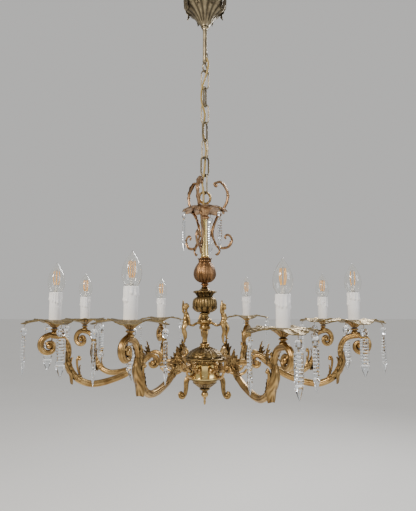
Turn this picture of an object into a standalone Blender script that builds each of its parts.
# Eight-arm cast-brass chandelier: ceiling canopy, stem, chain, crown, turned column, three cherubs,
# drum with eight scroll arms, each with a drip plate, a candle sleeve and a candle bulb.
# Metres, +Z up. The origin is the middle of the ceiling plate's top face. Azimuths are measured
# from the front (-Y) towards +X.
import math

import bmesh
import bpy
from mathutils import Matrix, Vector

GAP = 0.0003                 # air left between touching pieces

# ceiling fitting and stem
CEILING_PLATE_R = 0.032
CEILING_PLATE_T = 0.005
CEILING_BOSS_R = 0.0095
CEILING_BOSS_H = 0.014
CEILING_SCREW_R = 0.0023
CEILING_SCREW_PITCH_R = 0.022
STEM_R = 0.0052
STEM_BORE_R = 0.0034
STEM_LENGTH = 0.188
CANOPY_R = 0.052
CANOPY_TOP_R = 0.044
CANOPY_HEIGHT = 0.096
CANOPY_WALL = 0.0020
COLLAR_R = 0.0078
COLLAR_HEIGHT = 0.0078
SLIDE_CLEARANCE = 0.0004

# chain
EYE_R = 0.0100               # to the middle of the wire
EYE_WIRE_R = 0.0020
LINK_COUNT = 7
LINK_LENGTH = 0.0481         # between the middles of the end wires
LINK_WIDTH = (0.0170, 0.0190)            # plain link, twisted link
LINK_WIRE_R = (0.00175, 0.00225)
LINK_TURNS = (0, 75, 0, 58, -36, 22, -54)   # each link's plane about the chain, degrees
EYE_TURN = 60
LOOP_TURN = 20
CABLE_R = 0.0025
LINK_BEND_STEPS = 6          # even, so that each end's middle is a corner

# lamp column, from the top loop down
LOOP_R = 0.014
LOOP_WIRE_R = 0.003
LOOP_NUT_R = 0.0075
LOOP_NUT_H = 0.005
ROD_R = 0.004
ROD_CLEARANCE = 0.0004
CROWN_R = 0.052
CROWN_DROOP = 0.009
CROWN_HEIGHT = 0.030
CROWN_SCROLLS = (-16, 104, 224)
CROWN_PENDANTS = (44, 164, 284)
SCROLL_R = 0.0034
TUBE_LENGTH = 0.091
TUBE_R = (0.0070, 0.0095)    # top, bottom
VASE_HEIGHT = 0.070
VASE_R = 0.0253
URN_HEIGHT = 0.069
URN_R = 0.0283
BRACKET_HEIGHT = 0.066
BRACKET_REACH = 0.040
SPINDLE_R = 0.0058
DOME_HEIGHT = 0.0385
DOME_R = 0.042
RIM_R = 0.048
RIM_HEIGHT = 0.012
DRUM_HEIGHT = 0.0335
DRUM_R = 0.036
DRUM_WALL = 0.0025
BOWL_HEIGHT = 0.0265
BOWL_R = 0.0285
FINIAL_HEIGHT = 0.0315
FINIAL_R = 0.0081
FOOT_AZIMUTHS = (-60, 60, 180)
CHERUB_AZIMUTHS = (-60, 60, 180)
CHERUB_OUT = 0.0086          # from the end of the bracket arm to the figure's middle

# arms and lights
ARM_COUNT = 8
ARM_FIRST_AZIMUTH = -156.7
ARM_REACH = 0.333            # from the lamp's axis to the candle's
ARM_SIDES = 5
ARM_LIFTS = (-0.0016, -0.0016, 0.0016, 0.0060, -0.0068, 0.0016, -0.0016, 0.0036)
SEAT_RISE = 0.089            # top of the arm under the candle, above the arm's root
CUP_HEIGHT = 0.022
CUP_R = 0.020
NIPPLE_R = 0.0050
PLATE_R = 0.0545
PLATE_LOBE = 0.0085
PLATE_DROOP = 0.0065
PLATE_T = 0.0018
PLATE_TURNS = (0, -31, 30, 6, 14, 0, -35, 0)   # azimuth of one of each plate's four lobes
SLEEVE_R = 0.0125
SLEEVE_WALL = 0.0014
SLEEVE_HEIGHT = 0.056
HOLDER_R = 0.0094
BULB_CAP_R = 0.0068
BULB_CAP_H = 0.023
BULB_R = 0.0174
BULB_HEIGHT = 0.061          # above the sleeve
PENDANT_BEAD_R = 0.0068
PENDANT_WIDTH = 0.014
PENDANT_PRISM_H = 0.047
PENDANT_POINT_H = 0.027

# the cable's route: distance out of the stem against height, then its swing about the chain as
# (link joints passed, azimuth, radius), then the hole in the crown plate that it goes into
CABLE_IN_CANOPY = ((0.0155, -0.022), (0.0098, -0.032), (0.0036, -0.042), (0.0002, -0.0510), (0, -0.060),
                   (0, -0.110), (0, -0.150))
CABLE_OUT_OF_STEM = ((0.0004, 0.028), (0.0034, 0.018), (0.0086, 0.0045), (0.0092, -0.008))
CABLE_SWINGS = ((0.0, 45, 0.0082), (0.5, -90, 0.0010), (1.0, -52, 0.0085), (1.5, -92, 0.0088),
                (2.0, -52, 0.0080), (2.5, 0, 0.0003), (3.0, -158, 0.0080), (3.5, -150, 0.0085),
                (4.0, -176, 0.0080), (4.5, 162, 0.0085), (5.0, 173, 0.0080), (5.5, 0, 0.0003),
                (6.0, -16, 0.0080), (6.5, -40, 0.0090), (7.0, -22, 0.0092))
CABLE_ENTRY = (-0.0030, -0.0112)
CABLE_POCKET_DEPTH = 0.0055

# heights in the lamp's own frame, whose zero is the middle of its loop's top wire
EYE_Z = -CEILING_PLATE_T - STEM_LENGTH - EYE_R
BORE_R = ROD_R + ROD_CLEARANCE
PENDANT_HOOK_R = CROWN_R - 0.002
ARM_GAP = 0.0005
ARM_ROOT_DROP = 0.0120
ROD_TAIL = 0.010             # how far the rod goes into the finial
NIPPLE_RISE = 0.007          # how far the nipple stands above the cup
CROWN_TOP = -2 * LOOP_R - LOOP_WIRE_R - LOOP_NUT_H
COLUMN_TUBE_TOP = CROWN_TOP - CROWN_HEIGHT - GAP
VASE_TOP = COLUMN_TUBE_TOP - TUBE_LENGTH - GAP
URN_TOP = VASE_TOP - VASE_HEIGHT - GAP
BRACKET_TOP = URN_TOP - URN_HEIGHT - GAP
DOME_TOP = BRACKET_TOP - BRACKET_HEIGHT - GAP
DRUM_TOP = DOME_TOP - DOME_HEIGHT - GAP
BOWL_TOP = DRUM_TOP - DRUM_HEIGHT - GAP
FINIAL_TOP = BOWL_TOP - BOWL_HEIGHT - GAP


def material(name, colour, roughness, metallic, transmission=0.0):
    made = bpy.data.materials.new(name)
    made.use_nodes = True
    shader = made.node_tree.nodes["Principled BSDF"]
    shader.inputs["Base Color"].default_value = (*colour, 1.0)
    shader.inputs["Roughness"].default_value = roughness
    shader.inputs["Metallic"].default_value = metallic
    shader.inputs["Transmission Weight"].default_value = transmission
    made.diffuse_color = (*colour, 1.0)
    return made


def clear_scene():
    for thing in list(bpy.data.objects):
        bpy.data.objects.remove(thing, do_unlink=True)


def finished(bm, name):
    bmesh.ops.recalc_face_normals(bm, faces=bm.faces)
    mesh = bpy.data.meshes.new(name)
    bm.to_mesh(mesh)
    bm.free()
    mesh.shade_smooth()
    mesh.set_sharp_from_angle(angle=math.radians(35))
    return mesh


def empty(name, location, rotation=(0, 0, 0), parent=None):
    frame = bpy.data.objects.new(name, None)
    frame.location = location
    frame.rotation_euler = rotation
    frame.parent = parent
    bpy.context.scene.collection.objects.link(frame)
    return frame


def place(name, mesh, finish, location=(0, 0, 0), rotation=(0, 0, 0), parent=None):
    thing = bpy.data.objects.new(name, mesh)
    if not mesh.materials:
        mesh.materials.append(finish)
    thing.location = location
    thing.rotation_euler = rotation
    thing.parent = parent
    bpy.context.scene.collection.objects.link(thing)
    return thing


def direction(azimuth):
    angle = math.radians(azimuth)
    return Vector((math.sin(angle), -math.cos(angle), 0))


def turn_to(azimuth):
    """Rotation about Z that takes +X to this azimuth."""
    return math.radians(azimuth - 90)


# ---- shape makers -------------------------------------------------------------------------------

def turned(name, outline, segments, closed=True):
    """A shape of revolution. A closed outline is a ring; an open one starts and ends on the axis."""
    bm = bmesh.new()
    rings = []
    for radius, height in outline:
        if radius < 1e-7:
            rings.append([bm.verts.new((0, 0, height))])
            continue
        steps = [2 * math.pi * i / segments for i in range(segments)]
        rings.append([bm.verts.new((radius * math.cos(a), radius * math.sin(a), height)) for a in steps])
    pairs = list(zip(rings, rings[1:]))
    if closed:
        pairs.append((rings[-1], rings[0]))
    for upper, lower in pairs:
        for i in range(segments):
            k = (i + 1) % segments
            corners = [upper[i % len(upper)], upper[k % len(upper)],
                       lower[k % len(lower)], lower[i % len(lower)]]
            bm.faces.new(list(dict.fromkeys(corners)))
    return finished(bm, name)


def swept(name, path, radii, sides, flat=1.0):
    """A rod along a path that lies in a plane, or near one, with its own radius at each point."""
    bm = bmesh.new()
    path = [Vector(p) for p in path]
    rings = []
    across = None
    for i, point in enumerate(path):
        ahead = path[min(i + 1, len(path) - 1)] - path[max(i - 1, 0)]
        ahead.normalize()
        if across is None:
            across = ahead.orthogonal() if abs(ahead.y) > 0.9 else Vector((0, 1, 0))
        across = (across - ahead * across.dot(ahead)).normalized()
        up = ahead.cross(across)
        ring = []
        for k in range(sides):
            angle = 2 * math.pi * (k + 0.5) / sides
            offset = across * (math.cos(angle) * flat) + up * math.sin(angle)
            ring.append(bm.verts.new(point + offset * radii[i]))
        rings.append(ring)
    for one, two in zip(rings, rings[1:]):
        for k in range(sides):
            n = (k + 1) % sides
            bm.faces.new((one[k], one[n], two[n], two[k]))
    bm.faces.new(rings[0])
    bm.faces.new(rings[-1])
    return finished(bm, name)


def smooth(points, count):
    """Points at even spacing along a Catmull-Rom curve through the given ones."""
    points = [Vector(p) for p in points]
    ends = [2 * points[0] - points[1]] + points + [2 * points[-1] - points[-2]]
    fine = []
    for a, b, c, d in zip(ends, ends[1:], ends[2:], ends[3:]):
        for step in range(16):
            t = step / 16
            fine.append(0.5 * (2 * b + (c - a) * t + (2 * a - 5 * b + 4 * c - d) * t * t
                               + (3 * b - a - 3 * c + d) * t ** 3))
    fine.append(points[-1])
    reach = [0.0]
    for one, two in zip(fine, fine[1:]):
        reach.append(reach[-1] + (two - one).length)
    made, at = [], 0
    for i in range(count):
        wanted = reach[-1] * i / (count - 1)
        while at < len(fine) - 2 and reach[at + 1] < wanted:
            at += 1
        share = (wanted - reach[at]) / max(reach[at + 1] - reach[at], 1e-12)
        made.append(fine[at].lerp(fine[at + 1], min(share, 1.0)))
    return made


def spread(stops, count):
    """Values at even steps between the given ones."""
    out = []
    for i in range(count):
        at = (len(stops) - 1) * i / (count - 1)
        low = min(int(at), len(stops) - 2)
        out.append(stops[low] + (stops[low + 1] - stops[low]) * (at - low))
    return out


def volute(centre, start_angle, sweep, start_radius, end_radius, count):
    """Points of a spiral in the XZ plane, angles in degrees, winding in as it goes."""
    made = []
    for i in range(count):
        share = i / (count - 1)
        angle = math.radians(start_angle + sweep * share)
        radius = start_radius * (end_radius / start_radius) ** share
        made.append(Vector((centre[0] + radius * math.cos(angle), 0, centre[1] + radius * math.sin(angle))))
    return made


def ball(name, centre, radii, segments=8, rings=5):
    bm = bmesh.new()
    bmesh.ops.create_uvsphere(bm, u_segments=segments, v_segments=rings, radius=1.0)
    bmesh.ops.scale(bm, vec=radii, verts=bm.verts)
    bmesh.ops.translate(bm, vec=centre, verts=bm.verts)
    return finished(bm, name)


def cylinder(name, radius, depth, segments, matrix):
    bm = bmesh.new()
    bmesh.ops.create_cone(bm, cap_ends=True, segments=segments, radius1=radius, radius2=radius,
                          depth=depth, matrix=matrix)
    return finished(bm, name)


def moved(mesh, matrix):
    mesh.transform(matrix)
    return mesh


def combined(name, meshes, operation="UNION"):
    """One mesh from several, by Boolean operations on the first."""
    made = [bpy.data.objects.new(f"shape_{i}", mesh) for i, mesh in enumerate(meshes)]
    for thing in made:
        bpy.context.scene.collection.objects.link(thing)
    for thing in made[1:]:
        step = made[0].modifiers.new(thing.name, "BOOLEAN")
        step.operation = operation
        step.object = thing
        step.solver = "EXACT"
    bpy.context.view_layer.update()
    graph = bpy.context.evaluated_depsgraph_get()
    mesh = bpy.data.meshes.new_from_object(made[0].evaluated_get(graph))
    mesh.name = name
    for thing in made:
        bpy.data.objects.remove(thing, do_unlink=True)
    mesh.shade_smooth()
    mesh.set_sharp_from_angle(angle=math.radians(35))
    return mesh


def oval_link(name, length, width, wire_r, top, sides=6):
    """A closed oval link in the XZ plane. Its top wire's middle is at z = top."""
    half = width / 2
    upper, lower = top - half, top - length + half
    path = []
    for centre, first in ((upper, 0), (lower, 180)):
        for step in range(LINK_BEND_STEPS + 1):
            angle = math.radians(first + 180 * step / LINK_BEND_STEPS)
            path.append(Vector((half * math.cos(angle), 0, centre + half * math.sin(angle))))
    bm = bmesh.new()
    rings = []
    for i, point in enumerate(path):
        ahead = (path[(i + 1) % len(path)] - path[i - 1]).normalized()
        outward = ahead.cross(Vector((0, 1, 0)))
        ring = []
        for k in range(sides):
            angle = 2 * math.pi * k / sides
            offset = outward * math.cos(angle) + Vector((0, 1, 0)) * math.sin(angle)
            ring.append(bm.verts.new(point + offset * wire_r))
        rings.append(ring)
    for one, two in zip(rings, rings[1:] + rings[:1]):
        for k in range(sides):
            n = (k + 1) % sides
            bm.faces.new((one[k], one[n], two[n], two[k]))
    return finished(bm, name)


def ring(name, radius, wire_r, around=12, sides=6):
    """A torus that stands in the XZ plane."""
    turns = [2 * math.pi * i / sides for i in range(sides)]
    outline = [(radius + wire_r * math.cos(a), wire_r * math.sin(a)) for a in turns]
    return moved(turned(name, outline, around), Matrix.Rotation(math.radians(90), 4, "X"))


# ---- ceiling fitting ----------------------------------------------------------------------------

def ceiling_plate(finish):
    boss_end = -CEILING_PLATE_T - CEILING_BOSS_H
    socket_top = -CEILING_PLATE_T + 0.002
    disc = turned("ceiling_plate", [
        (0, 0), (CEILING_PLATE_R, 0), (CEILING_PLATE_R, -CEILING_PLATE_T),
        (CEILING_BOSS_R, -CEILING_PLATE_T), (CEILING_BOSS_R, boss_end), (STEM_R + GAP, boss_end),
        (STEM_R + GAP, socket_top), (0, socket_top),
    ], 18, closed=False)
    holes = [cylinder("hole", CEILING_SCREW_R, 3 * CEILING_PLATE_T, 10,
                      Matrix.Translation((side * CEILING_SCREW_PITCH_R, 0, -CEILING_PLATE_T / 2)))
             for side in (-1, 1)]
    place("ceiling_plate", combined("ceiling_plate", [disc] + holes, "DIFFERENCE"), finish)


def stem(finish):
    """Hollow rod with a slot at each end for the cable, and an eye that carries the chain."""
    top = -CEILING_PLATE_T + 0.002 - GAP
    bottom = -CEILING_PLATE_T - STEM_LENGTH
    rod = turned("stem_rod", [
        (0, top), (STEM_R, top), (STEM_R, bottom), (0, bottom)], 14, closed=False)
    bore = turned("bore", [
        (0, top - 0.022), (STEM_BORE_R, top - 0.022), (STEM_BORE_R, bottom + 0.005),
        (0, bottom + 0.005)], 10, closed=False)
    slots = []
    for high, low in ((top - 0.0225, top - 0.052), (bottom + 0.0285, bottom + 0.005)):
        bm = bmesh.new()
        bmesh.ops.create_cube(bm, size=1.0)
        bmesh.ops.scale(bm, vec=(STEM_R * 2, STEM_BORE_R * 1.7, high - low), verts=bm.verts)
        bmesh.ops.translate(bm, vec=(STEM_R, 0, (high + low) / 2), verts=bm.verts)
        slots.append(moved(finished(bm, "slot"), Matrix.Rotation(turn_to(EYE_TURN), 4, "Z")))
    hollow = combined("stem_hollow", [rod, bore] + slots, "DIFFERENCE")
    eye = moved(ring("eye", EYE_R, EYE_WIRE_R), Matrix.Translation((0, 0, EYE_Z))
                @ Matrix.Rotation(math.radians(EYE_TURN), 4, "Z"))
    place("stem_rod", combined("stem_rod", [hollow, eye]), finish)


def canopy(finish):
    """Leafy bell shell, drawn as its outer line and the same line a wall inside."""
    stem_hole = STEM_R + SLIDE_CLEARANCE
    top = -0.001
    height = CANOPY_HEIGHT
    outer = [(CANOPY_TOP_R, top), (CANOPY_R, -0.32 * height), (CANOPY_R, -0.56 * height),
             (CANOPY_R * 0.52, -0.74 * height), (CANOPY_R * 0.34, -0.88 * height),
             (CANOPY_R * 0.22, -height)]
    inner = [(stem_hole, -height), (stem_hole, -height + 2 * CANOPY_WALL)]
    inner += [(r - CANOPY_WALL * 1.3, z + CANOPY_WALL * (0.6 if z > -0.6 * height else 1.6))
              for r, z in reversed(outer[1:-1])]
    inner += [(CANOPY_TOP_R - CANOPY_WALL, top)]
    place("canopy", turned("canopy", outer + inner, 16), finish)


def canopy_collar(finish):
    top = -CANOPY_HEIGHT - GAP
    low = top - COLLAR_HEIGHT
    bore = STEM_R + SLIDE_CLEARANCE
    outline = [(COLLAR_R, top), (COLLAR_R * 1.06, top - COLLAR_HEIGHT * 0.4), (COLLAR_R * 0.8, low),
               (bore, low), (bore, top)]
    place("canopy_collar", turned("canopy_collar", outline, 14), finish)


# ---- chain --------------------------------------------------------------------------------------

def chain(finish):
    """Hangs each link from the one above. Returns the height of the lamp's top loop."""
    wire_above = EYE_WIRE_R
    hinge_z = EYE_Z - EYE_R
    for i in range(LINK_COUNT):
        kind = i % 2
        rise = wire_above + LINK_WIRE_R[kind] + GAP
        mesh = oval_link(f"chain_link_{i + 1}", LINK_LENGTH, LINK_WIDTH[kind], LINK_WIRE_R[kind], rise)
        place(f"chain_link_{i + 1}", mesh, finish, (0, 0, hinge_z), (0, 0, math.radians(LINK_TURNS[i])))
        hinge_z += rise - LINK_LENGTH
        wire_above = LINK_WIRE_R[kind]
    return hinge_z + wire_above + LOOP_WIRE_R + GAP


def cable(finish, lamp_z):
    """The supply cable: down inside the stem, woven through the chain, into the crown plate."""
    out = direction(EYE_TURN)
    bottom = -CEILING_PLATE_T - STEM_LENGTH
    knots = [out * away + Vector((0, 0, z)) for away, z in CABLE_IN_CANOPY]
    knots += [out * away + Vector((0, 0, bottom + rise)) for away, rise in CABLE_OUT_OF_STEM]
    first = EYE_Z - EYE_R
    pitch = (lamp_z - first) / LINK_COUNT
    for along, azimuth, radius in CABLE_SWINGS:
        knots.append(direction(azimuth) * radius + Vector((0, 0, first + pitch * along)))
    for rise in (0.012, 0.004, -CABLE_POCKET_DEPTH + 0.001):
        knots.append(Vector((*CABLE_ENTRY, lamp_z + CROWN_TOP + rise)))
    line = smooth(knots, 46)
    curve = bpy.data.curves.new("cable", "CURVE")
    curve.dimensions = "3D"
    curve.bevel_depth = CABLE_R
    curve.bevel_resolution = 2
    curve.use_fill_caps = True
    spline = curve.splines.new("POLY")
    spline.points.add(len(line) - 1)
    for point, where in zip(spline.points, line):
        point.co = (*where, 1)
    place("cable", curve, finish)


# ---- lamp column --------------------------------------------------------------------------------

def central_rod(finish, lamp):
    """The rod that holds the column together, with the lamp's hanging loop on its top nut."""
    loop = moved(ring("loop", LOOP_R, LOOP_WIRE_R), Matrix.Translation((0, 0, -LOOP_R))
                 @ Matrix.Rotation(math.radians(LOOP_TURN), 4, "Z"))
    nut_top = -2 * LOOP_R - LOOP_WIRE_R + 0.0006
    rod = turned("rod", [
        (0, nut_top), (LOOP_NUT_R * 0.8, nut_top), (LOOP_NUT_R, nut_top - 0.0015),
        (LOOP_NUT_R, CROWN_TOP + GAP), (ROD_R, CROWN_TOP + GAP), (ROD_R, FINIAL_TOP - ROD_TAIL),
        (0, FINIAL_TOP - ROD_TAIL)], 12, closed=False)
    place("central_rod", combined("central_rod", [rod, loop]), finish, parent=lamp)


def scroll_path():
    """S-scroll of the crown, from its top curl, through the plate's edge, to its lower tip."""
    edge = CROWN_R - 0.0075
    knots = [(edge - 0.0185, 0.0500), (edge - 0.0150, 0.0605), (edge - 0.0030, 0.0620),
             (edge + 0.0080, 0.0480), (edge + 0.0128, 0.0320), (edge + 0.0095, 0.0135), (edge, -0.0045),
             (edge - 0.0120, -0.0200), (edge - 0.0215, -0.0415), (edge - 0.0260, -0.0610),
             (edge - 0.0235, -0.0760), (edge - 0.0165, -0.0910), (edge - 0.0085, -0.1010),
             (edge - 0.0120, -0.1150)]
    return [(x, 0, z) for x, z in knots]


def crown_plate(finish, lamp):
    """Lobed plate on a trumpet, with three S-scrolls through its edge and a pocket for the cable."""
    foot = -CROWN_HEIGHT
    rim = -CROWN_DROOP
    plate = turned("crown", [
        (BORE_R, 0), (CROWN_R * 0.45, 0), (CROWN_R * 0.8, rim * 0.35), (CROWN_R, rim),
        (CROWN_R * 0.97, rim - 0.002), (CROWN_R * 0.62, rim * 0.3 - 0.0045), (0.0165, -0.007),
        (0.0100, -0.014), (0.0077, foot + 0.006), (0.0100, foot + 0.004), (0.0085, foot),
        (BORE_R, foot)], 16)
    parts = [plate]
    for azimuth in CROWN_SCROLLS:
        spin = Matrix.Rotation(turn_to(azimuth), 4, "Z")
        line = smooth(scroll_path(), 15)
        radii = spread([0.0020, SCROLL_R, SCROLL_R, SCROLL_R * 1.15, SCROLL_R, SCROLL_R, 0.0018], len(line))
        parts.append(moved(swept("scroll", line, radii, 4), spin))
        edge = CROWN_R - 0.0075
        curl = [(edge - 0.0110, 0, -0.0980), (edge + 0.0020, 0, -0.0975), (edge + 0.0160, 0, -0.0920),
                (edge + 0.0235, 0, -0.0785), (edge + 0.0175, 0, -0.0665), (edge + 0.0090, 0, -0.0665)]
        parts.append(moved(swept("curl", smooth(curl, 6), spread([0.0026, 0.0026, 0.0015], 6), 4), spin))
    made = combined("crown_joined", parts)
    pocket = cylinder("pocket", CABLE_R + ROD_CLEARANCE, 2 * CABLE_POCKET_DEPTH, 10,
                      Matrix.Translation((*CABLE_ENTRY, 0)))
    plated = combined("crown_plate", [made, pocket], "DIFFERENCE")
    place("crown_plate", plated, finish, (0, 0, CROWN_TOP), parent=lamp)


def pendant_mesh(name):
    """Cut-glass drop: faceted bead, pin, long prism, neck and spear point. Its origin is its hook."""
    bead_top = -0.0045
    bead_low = bead_top - PENDANT_BEAD_R * 2
    bead = turned("bead", [
        (0, 0), (0.0010, -0.0002), (0.0012, -0.0025), (PENDANT_BEAD_R * 0.7, bead_top),
        (PENDANT_BEAD_R, bead_top - PENDANT_BEAD_R * 0.8), (PENDANT_BEAD_R, bead_top - PENDANT_BEAD_R * 1.2),
        (PENDANT_BEAD_R * 0.7, bead_low), (0, bead_low)], 8, closed=False)
    top = bead_low + 0.001
    half = PENDANT_WIDTH / 2
    neck = top - PENDANT_PRISM_H
    prism = turned("prism", [(0, top), (0.0020, top), (0.0020, top - 0.003), (half * 0.9, top - 0.003),
                             (half, top - 0.0045), (half, neck), (half * 0.78, neck - 0.002),
                             (half * 1.05, neck - 0.005), (0, neck - PENDANT_POINT_H)], 6, closed=False)
    moved(prism, Matrix.Scale(0.55, 4, (0, 1, 0)))
    return combined(name, [bead, prism])


def crown_pendants(finish, lamp):
    for i, azimuth in enumerate(CROWN_PENDANTS):
        hook = direction(azimuth) * PENDANT_HOOK_R
        hook.z = CROWN_TOP - CROWN_DROOP - 0.0035
        name = f"crown_pendant_{i + 1}"
        mesh = pendant_mesh(name)
        moved(mesh, Matrix.Rotation(math.radians(90), 4, "Z"))
        place(name, mesh, finish, hook, (0, 0, turn_to(azimuth)), lamp)


def column(bodies, lamp):
    """The turned pieces threaded on the rod, each drawn from its own top down."""
    bore = BORE_R
    height = TUBE_LENGTH
    top_r, low_r = TUBE_R
    outlines = {"column_tube": (COLUMN_TUBE_TOP, [
        (bore, 0), (top_r, 0), (top_r * 1.02, -0.35 * height), (low_r, -0.98 * height), (low_r, -height),
        (bore, -height)])}
    height = VASE_HEIGHT
    outlines["vase"] = (VASE_TOP, [
        (bore, 0), (0.51 * VASE_R, 0), (0.54 * VASE_R, -0.08 * height), (0.78 * VASE_R, -0.30 * height),
        (VASE_R, -0.52 * height), (0.97 * VASE_R, -0.63 * height), (0.62 * VASE_R, -0.76 * height),
        (0.28 * VASE_R, -0.82 * height), (0.34 * VASE_R, -0.90 * height), (0.27 * VASE_R, -height),
        (bore, -height)])
    height = URN_HEIGHT
    outlines["urn"] = (URN_TOP, [
        (bore, 0), (0.30 * URN_R, 0), (0.45 * URN_R, -0.09 * height), (0.92 * URN_R, -0.13 * height),
        (0.70 * URN_R, -0.21 * height), (0.66 * URN_R, -0.30 * height), (0.93 * URN_R, -0.42 * height),
        (URN_R, -0.56 * height), (0.90 * URN_R, -0.72 * height), (0.42 * URN_R, -0.83 * height),
        (0.33 * URN_R, -0.92 * height), (0.38 * URN_R, -height), (bore, -height)])
    for name, (top, outline) in outlines.items():
        place(name, turned(name, outline, 14), bodies[name], (0, 0, top), parent=lamp)


def cherub_bracket(finish, lamp):
    """Dish, three-armed bracket, spool and spindle, turned and cast as one."""
    height = BRACKET_HEIGHT
    hub = turned("hub", [
        (BORE_R, 0), (0.0110, 0), (0.0163, -0.11 * height), (0.0163, -0.17 * height),
        (0.0110, -0.24 * height), (0.0128, -0.31 * height), (0.0128, -0.40 * height),
        (SPINDLE_R, -0.45 * height), (SPINDLE_R, -0.85 * height), (0.0105, -0.88 * height),
        (0.0110, -height), (BORE_R, -height)], 12)
    level = -0.22 * height
    parts = [hub]
    for azimuth in CHERUB_AZIMUTHS:
        line = [(0.010, 0, level), (0.021, 0, level + 0.0015), (0.031, 0, level - 0.003),
                (BRACKET_REACH, 0, level - 0.0005)]
        arm = swept("arm", line, spread([0.0030, 0.0026, 0.0030], len(line)), 5, flat=1.4)
        parts.append(moved(arm, Matrix.Rotation(turn_to(azimuth), 4, "Z")))
    joined = combined("cherub_bracket", parts)
    place("cherub_bracket", joined, finish, (0, 0, BRACKET_TOP), parent=lamp)


def cherub_mesh():
    """Small child figure, one arm raised and one knee bent. Its origin is its hip, and it faces +X."""
    def limb(knots, radii):
        return swept("limb", [Vector(k) for k in knots], spread(radii, len(knots)), 5)
    return [
        ball("torso", (0, 0, 0.0130), (0.0058, 0.0068, 0.0170), 7, 5),
        ball("head", (0.0005, 0, 0.0400), (0.0068, 0.0064, 0.0072), 7, 5),
        limb([(0, 0, 0.024), (0, 0, 0.036)], [0.0030, 0.0026]),
        limb([(0, -0.0030, 0.0240), (0.0015, -0.0120, 0.0320), (0.0020, -0.0108, 0.0530)],
             [0.0030, 0.0026, 0.0019]),
        limb([(0, 0.0030, 0.0240), (-0.0005, 0.0120, 0.0140), (-0.0020, 0.0150, 0.0030)],
             [0.0030, 0.0025, 0.0019]),
        limb([(0, -0.0034, 0.0040), (0.0065, -0.0045, -0.0160), (0.0020, -0.0035, -0.0390),
              (0.0050, -0.0035, -0.0415)], [0.0046, 0.0037, 0.0023]),
        limb([(0, 0.0034, 0.0040), (0.0085, 0.0060, -0.0080), (0.0035, 0.0070, -0.0300),
              (0.0065, 0.0070, -0.0330)], [0.0046, 0.0037, 0.0023]),
    ]


def cherubs(finish, lamp):
    for i, azimuth in enumerate(CHERUB_AZIMUTHS):
        name = f"cherub_{i + 1}"
        at = direction(azimuth) * (BRACKET_REACH + CHERUB_OUT)
        at.z = BRACKET_TOP - 0.22 * BRACKET_HEIGHT - 0.0005
        place(name, combined(name, cherub_mesh()), finish, at, (0, 0, turn_to(azimuth)), lamp)


def dome(finish, lamp):
    wall = DRUM_WALL
    low = -DOME_HEIGHT
    shoulder = low + RIM_HEIGHT
    outline = [(BORE_R, 0), (0.0116, 0), (0.0310, -0.0110), (DOME_R, shoulder), (RIM_R, shoulder),
               (RIM_R, low + 0.002), (DRUM_R, low), (DRUM_R - wall, low), (DRUM_R - wall, shoulder - wall),
               (0.0290, -0.0135), (0.0100, -0.0035), (BORE_R, -0.0035)]
    place("dome", turned("dome", outline, 16), finish, (0, 0, DOME_TOP), parent=lamp)


def drum(finish, lamp):
    """Plain wall that the eight arms screw into, with three scroll feet under its lower edge."""
    inner = DRUM_R - DRUM_WALL
    wall = turned("wall", [(inner, 0), (DRUM_R, 0), (DRUM_R, -DRUM_HEIGHT), (BORE_R, -DRUM_HEIGHT),
                           (BORE_R, -DRUM_HEIGHT + DRUM_WALL), (inner, -DRUM_HEIGHT + DRUM_WALL)], 20)
    parts = [wall]
    low = -DRUM_HEIGHT + 0.004
    for azimuth in FOOT_AZIMUTHS:
        line = [(DRUM_R - 0.001, 0, low), (DRUM_R + 0.0100, 0, low - 0.003),
                (DRUM_R + 0.0115, 0, low - 0.019), (DRUM_R + 0.0130, 0, low - 0.033),
                (DRUM_R + 0.0195, 0, low - 0.041),
                (DRUM_R + 0.0260, 0, low - 0.037), (DRUM_R + 0.0245, 0, low - 0.0295)]
        foot = swept("foot", line, spread([0.0048, 0.0052, 0.0042, 0.0034, 0.0030], len(line)), 5)
        parts.append(moved(foot, Matrix.Rotation(turn_to(azimuth), 4, "Z")))
    place("drum", combined("drum", parts), finish, (0, 0, DRUM_TOP), parent=lamp)


def bowl_and_finial(bowl_finish, finial_finish, lamp):
    height = BOWL_HEIGHT
    lip = BOWL_R + 0.003
    outline = [(BORE_R, 0), (lip, 0), (lip, -0.09 * height), (BOWL_R, -0.14 * height),
               (0.88 * BOWL_R, -0.34 * height), (0.55 * BOWL_R, -0.66 * height),
               (0.36 * BOWL_R, -0.82 * height), (0.36 * BOWL_R, -height), (BORE_R, -height)]
    bowl = turned("bottom_bowl", outline, 16)
    place("bottom_bowl", bowl, bowl_finish, (0, 0, BOWL_TOP), parent=lamp)
    height = FINIAL_HEIGHT
    socket = -ROD_TAIL - GAP
    outline = [(BORE_R, 0), (BORE_R + 0.0006, 0), (FINIAL_R * 0.8, -0.09 * height),
               (FINIAL_R, -0.26 * height),
               (FINIAL_R * 0.75, -0.43 * height), (FINIAL_R * 0.32, -0.55 * height),
               (FINIAL_R * 0.34, -0.72 * height), (0.0012, -height), (0, -height)]
    hollow = [(0, socket), (BORE_R, socket)]
    finial = turned("finial", hollow + outline, 10, closed=False)
    place("finial", finial, finial_finish, (0, 0, FINIAL_TOP), parent=lamp)


# ---- arms and lights ----------------------------------------------------------------------------

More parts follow.
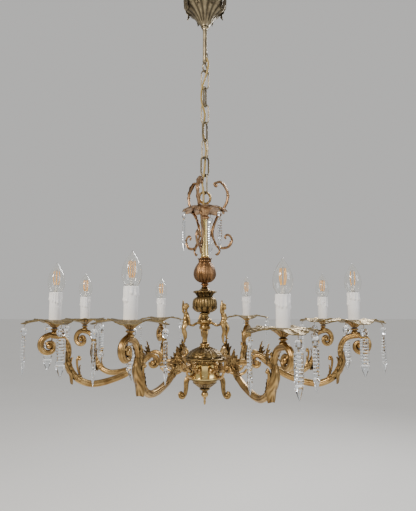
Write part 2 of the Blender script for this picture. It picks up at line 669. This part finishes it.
def arm_line():
    """The arm's middle line in its own plane, from the inner volute's eye to the outer one's."""
    reach = ARM_REACH - DRUM_R - ARM_GAP
    inner = volute((0.0875, 0.0190), 45, 330, 0.0180, 0.0065, 8)
    outer = volute((reach + 0.0090, SEAT_RISE - 0.0285), 97, -430, 0.0220, 0.0068, 10)
    middle = [(0.1110, 0.0255), (0.1265, 0.0100), (0.1505, -0.0040), (0.1755, -0.0125),
              (reach - 0.0960, -0.0180), (reach - 0.0740, -0.0180), (reach - 0.0510, -0.0080),
              (reach - 0.0360, 0.09 * SEAT_RISE), (reach - 0.0275, 0.32 * SEAT_RISE),
              (reach - 0.0300, 0.53 * SEAT_RISE), (reach - 0.0265, 0.72 * SEAT_RISE),
              (reach - 0.0150, 0.865 * SEAT_RISE)]
    body = smooth([inner[0]] + [(x, 0, z) for x, z in middle] + [outer[0]], 13)
    return inner[::-1] + body[1:-1] + outer


def arm_mesh(name):
    """Scroll arm, its bracket to the drum, its leaves, the cup under the plate and the nipple."""
    reach = ARM_REACH - DRUM_R - ARM_GAP
    line = arm_line()
    girth = spread([0.0030, 0.0042, 0.0052, 0.0062, 0.0068, 0.0068, 0.0060, 0.0050, 0.0050, 0.0052,
                    0.0042, 0.0030], len(line))
    parts = [swept("tube", line, girth, ARM_SIDES, flat=0.9)]
    bracket = [(0, 0, 0), (0.014, 0, -0.0005), (0.030, 0, 0.011), (0.0765, 0, 0.020)]
    parts.append(swept("bracket", bracket, spread([0.0060, 0.0046, 0.0042], len(bracket)), 5))
    boss = Matrix.Translation((0.0385, 0, 0.0160)) @ Matrix.Rotation(math.radians(90), 4, "X")
    parts.append(cylinder("boss", 0.0095, 0.0150, 7, boss))
    leaf = [(0.1120, 0, 0.0240), (0.1140, 0, 0.0400), (0.1120, 0, 0.0500), (0.1150, 0, 0.0600)]
    parts.append(swept("leaf", leaf, [0.0060, 0.0075, 0.0045, 0.0012], 4))
    twig = [(reach - 0.0560, 0, -0.0100), (reach - 0.0470, 0, 0.0180),
            (reach - 0.0445, 0, 0.45 * SEAT_RISE)]
    parts.append(swept("twig", twig, [0.0030, 0.0024, 0.0034], 4))
    top = CUP_HEIGHT
    cup = turned("cup", [
        (0, -0.0045), (0.0062, -0.0045), (0.0046, 0.0030), (0.0074, 0.0050), (0.0046, 0.0075),
        (CUP_R, top - 0.0020), (CUP_R, top), (NIPPLE_R, top), (NIPPLE_R, top + NIPPLE_RISE),
        (0, top + NIPPLE_RISE)], 8, closed=False)
    parts.append(moved(cup, Matrix.Translation((reach, 0, SEAT_RISE))))
    return combined(name, parts)


def plate_mesh(name, steps=16):
    """Thin four-lobed plate with a hole for the nipple. Its lobes droop, the first one towards +X."""
    bm = bmesh.new()
    rings = []
    hole = NIPPLE_R + ROD_CLEARANCE
    seat = CUP_R + 0.004
    for offset in (0.0, PLATE_T):
        for base, lobed, droop in ((hole, 0, 0), (seat, 0, 0), (PLATE_R, PLATE_LOBE, PLATE_DROOP)):
            verts = []
            for i in range(steps):
                angle = 2 * math.pi * i / steps
                lobe = math.cos(4 * angle)
                radius = base + lobed * lobe
                drop = droop * (0.5 + 0.5 * lobe)
                spot = (radius * math.cos(angle), radius * math.sin(angle), offset - drop)
                verts.append(bm.verts.new(spot))
            rings.append(verts)
    low, high = rings[:3], rings[3:]
    loops = [low[0], low[1], low[2], high[2], high[1], high[0]]
    for one, two in zip(loops, loops[1:] + loops[:1]):
        for i in range(steps):
            k = (i + 1) % steps
            bm.faces.new((one[i], one[k], two[k], two[i]))
    return finished(bm, name)


def sleeve_mesh(name):
    """Candle sleeve with the bulb holder inside it, joined at the floor."""
    high = SLEEVE_HEIGHT
    inner = SLEEVE_R - SLEEVE_WALL
    socket = BULB_CAP_R + ROD_CLEARANCE
    hole = NIPPLE_R + ROD_CLEARANCE
    seat = high - BULB_CAP_H - 0.002
    return turned(name, [(SLEEVE_R, high), (SLEEVE_R, 0), (hole, 0), (hole, seat), (socket, seat),
                         (socket, high - 0.006), (HOLDER_R, high - 0.006), (HOLDER_R, 0.004), (inner, 0.004),
                         (inner, high)], 10)


def bulb_mesh(name):
    """Candle bulb: screw cap and pointed glass. Its origin is level with the sleeve's top."""
    high = BULB_HEIGHT
    return turned(name, [
        (0, -BULB_CAP_H), (BULB_CAP_R, -BULB_CAP_H + 0.001), (BULB_CAP_R, -0.002),
        (SLEEVE_R - SLEEVE_WALL - 0.001, 0.0005), (0.92 * BULB_R, 0.20 * high), (BULB_R, 0.34 * high),
        (0.91 * BULB_R, 0.53 * high), (0.58 * BULB_R, 0.76 * high), (0.20 * BULB_R, 0.93 * high),
        (0, high)], 10, closed=False)


def arms(finishes, lamp):
    reach = ARM_REACH - DRUM_R - ARM_GAP
    plate_z = SEAT_RISE + CUP_HEIGHT + GAP
    sleeve_z = plate_z + PLATE_T + GAP
    bulb_z = sleeve_z + SLEEVE_HEIGHT
    meshes = {"arm": arm_mesh("arm"), "drip_plate": plate_mesh("drip_plate"),
              "candle_sleeve": sleeve_mesh("candle_sleeve"), "bulb": bulb_mesh("bulb")}
    for i in range(ARM_COUNT):
        azimuth = ARM_FIRST_AZIMUTH + 360 / ARM_COUNT * i
        root = direction(azimuth) * (DRUM_R + ARM_GAP)
        root.z = DRUM_TOP - ARM_ROOT_DROP
        lean = -math.atan(ARM_LIFTS[i] / reach)
        frame = empty(f"arm_frame_{i + 1}", root, (0, lean, turn_to(azimuth)), lamp)
        turn = math.radians(PLATE_TURNS[i] - azimuth)
        for name, where, spin in (("arm", (0, 0, 0), 0), ("drip_plate", (reach, 0, plate_z), turn),
                                  ("candle_sleeve", (reach, 0, sleeve_z), 0),
                                  ("bulb", (reach, 0, bulb_z), 0)):
            place(f"{name}_{i + 1}", meshes[name], finishes[name], where, (0, 0, spin), frame)


def main():
    clear_scene()
    bronze = material("antique bronze", (0.33, 0.22, 0.10), 0.38, 1.0)
    grey_brass = material("greyed brass", (0.36, 0.31, 0.22), 0.42, 1.0)
    polished = material("polished brass", (0.62, 0.47, 0.20), 0.22, 1.0)
    pale = material("pale brass", (0.50, 0.42, 0.25), 0.40, 1.0)
    ivory = material("candle plastic", (0.90, 0.90, 0.88), 0.45, 0.0)
    clear = material("clear glass", (0.95, 0.95, 0.95), 0.02, 0.0, 1.0)
    crystal = material("cut crystal", (0.90, 0.94, 0.98), 0.01, 0.0, 1.0)
    sheath = material("cable sheath", (0.62, 0.47, 0.14), 0.45, 0.0)
    ceiling_plate(grey_brass)
    stem(grey_brass)
    canopy(grey_brass)
    canopy_collar(grey_brass)
    lamp_z = chain(grey_brass)
    cable(sheath, lamp_z)
    lamp = empty("lamp_frame", (0, 0, lamp_z))
    central_rod(polished, lamp)
    crown_plate(bronze, lamp)
    crown_pendants(crystal, lamp)
    column({"column_tube": polished, "vase": bronze, "urn": bronze}, lamp)
    cherub_bracket(bronze, lamp)
    cherubs(bronze, lamp)
    dome(bronze, lamp)
    drum(polished, lamp)
    bowl_and_finial(bronze, bronze, lamp)
    arms({"arm": bronze, "drip_plate": pale, "candle_sleeve": ivory, "bulb": clear}, lamp)


main()
